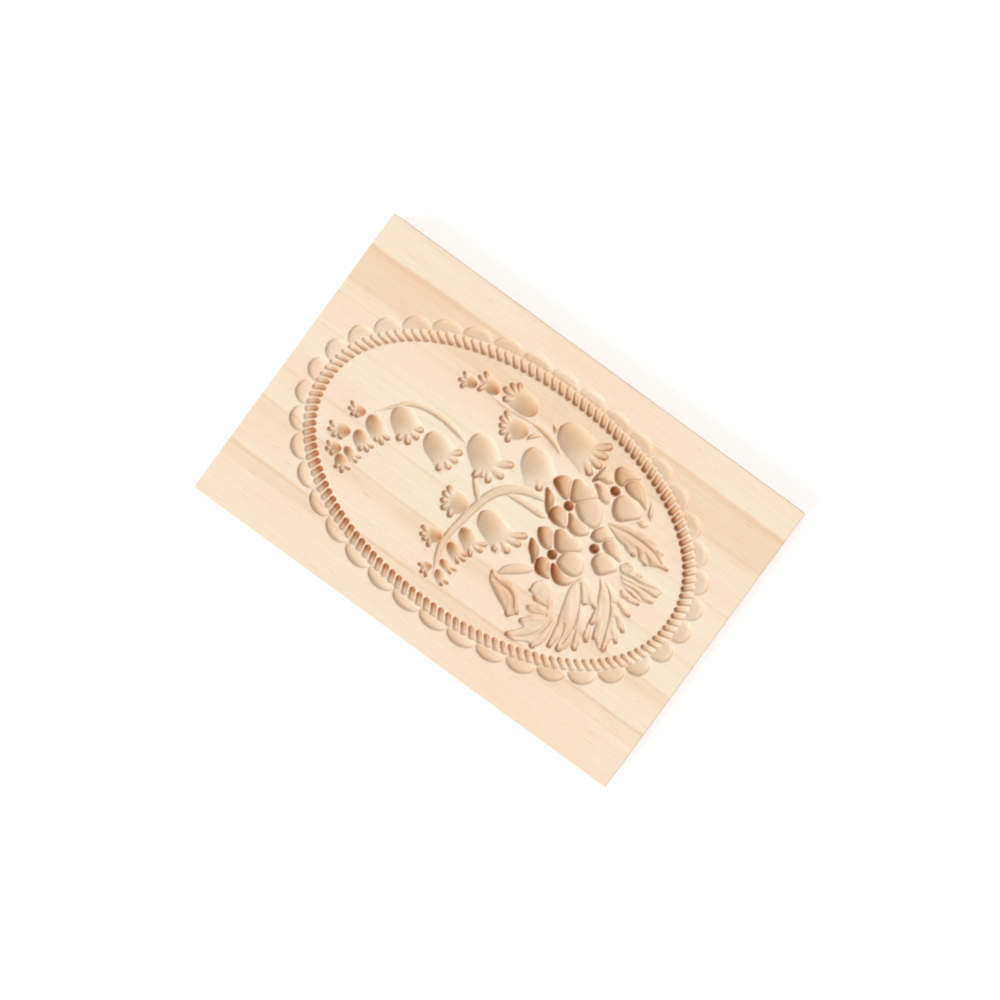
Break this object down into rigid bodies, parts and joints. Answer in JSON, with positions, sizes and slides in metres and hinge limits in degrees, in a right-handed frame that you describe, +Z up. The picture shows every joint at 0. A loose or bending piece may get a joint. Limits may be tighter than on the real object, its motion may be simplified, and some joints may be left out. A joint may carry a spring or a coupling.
{
  "type": "cookie mould",
  "caption": "Flat rectangular wooden board with a hollow posy of bell flowers, blossoms and leaves in a rope and scallop oval, for pressing biscuit dough.",
  "frame": {"origin": "centre of the underside", "axes": "+X along the long side, +Y along the short side, +Z up out of the carved face"},
  "size_m": [0.15, 0.1, 0.018],
  "materials": {
    "pine": "matte"
  },
  "bodies": {
    "root": {"mould_board": "pine"}
  },
  "joints": []
}
